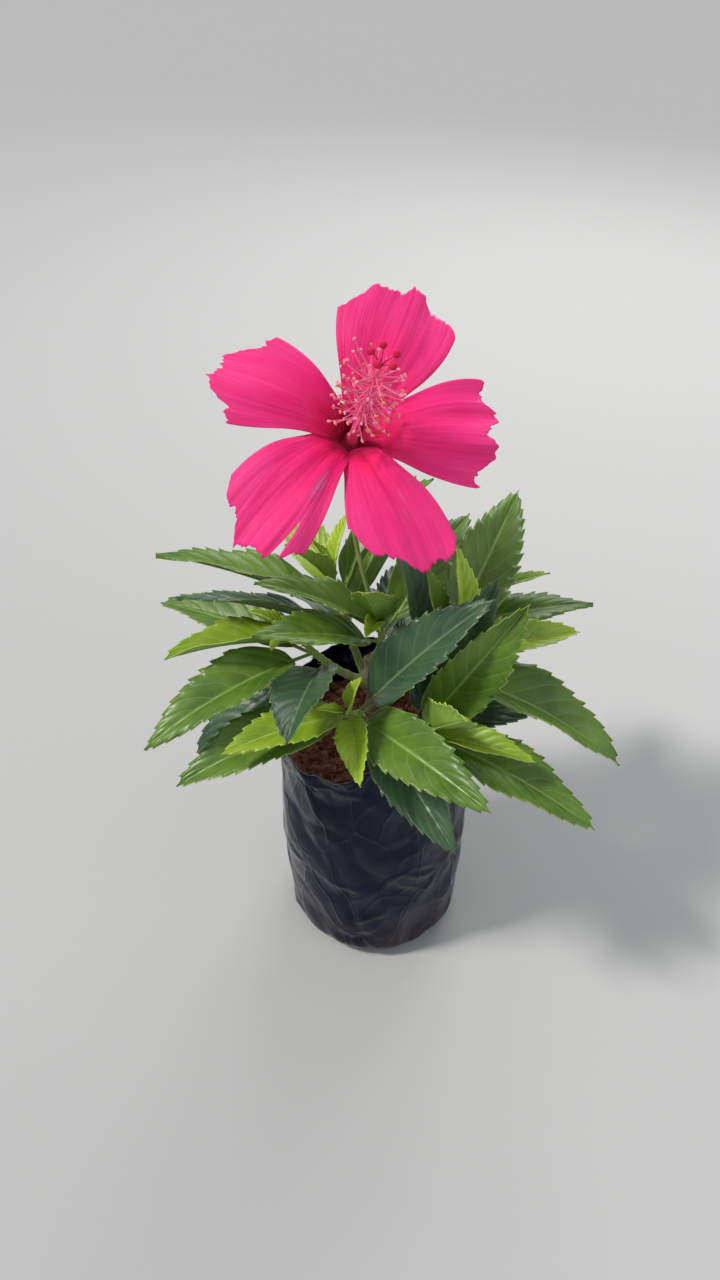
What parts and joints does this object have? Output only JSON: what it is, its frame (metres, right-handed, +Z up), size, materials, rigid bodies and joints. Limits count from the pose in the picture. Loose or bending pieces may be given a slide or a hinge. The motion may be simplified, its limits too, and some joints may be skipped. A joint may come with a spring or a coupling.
{
  "type": "hibiscus shrub in a nursery bag",
  "caption": "Young hibiscus shrub with one open red bloom on a slender stalk above toothed leaves, raised from a woody cutting in a soft black film nursery bag of red soil.",
  "frame": {"origin": "centre of the bag's flat underside, on the surface that the bag stands on", "axes": "+Z up along the stem; the bloom looks along -Y and upwards; +X to the right as seen facing the bloom"},
  "size_m": [0.2227, 0.1943, 0.3459],
  "materials": {
    "bag_film": "thin black polythene film with a blue sheen, creased, its folds catching the light",
    "soil": "dry crumbly red-brown earth with a few pale grains",
    "bark": "rough tan-brown bark with a paler cut end",
    "green_shoot": "smooth green shoot, browner towards its foot",
    "foliage": "glossy leaves, dark green when old and bright yellow-green when young",
    "flower_green": "soft light green, faintly ribbed",
    "petals": "silky hot red with a pink cast, finely pleated, dark crimson at the throat",
    "stamens": "pink column with rose and salmon anthers and crimson stigmas"
  },
  "bodies": {
    "root": {"nursery_bag": "bag_film", "soil": "soil", "woody_stem": "bark", "flower_stalk": "flower_green", "calyx": "flower_green", "stamen_column": "stamens", "bough_leader": "green_shoot", "foliage_leader": "foliage", "bough_left": "green_shoot", "foliage_left": "foliage", "bough_right": "green_shoot", "foliage_right": "foliage", "bough_back": "green_shoot", "foliage_back": "foliage", "bough_front": "green_shoot", "foliage_front": "foliage", "bough_front_right": "green_shoot", "foliage_front_right": "foliage", "bough_rear_right": "green_shoot", "foliage_rear_right": "foliage", "petal_1": "petals", "petal_2": "petals", "petal_3": "petals", "petal_4": "petals", "petal_5": "petals"}
  },
  "joints": []
}
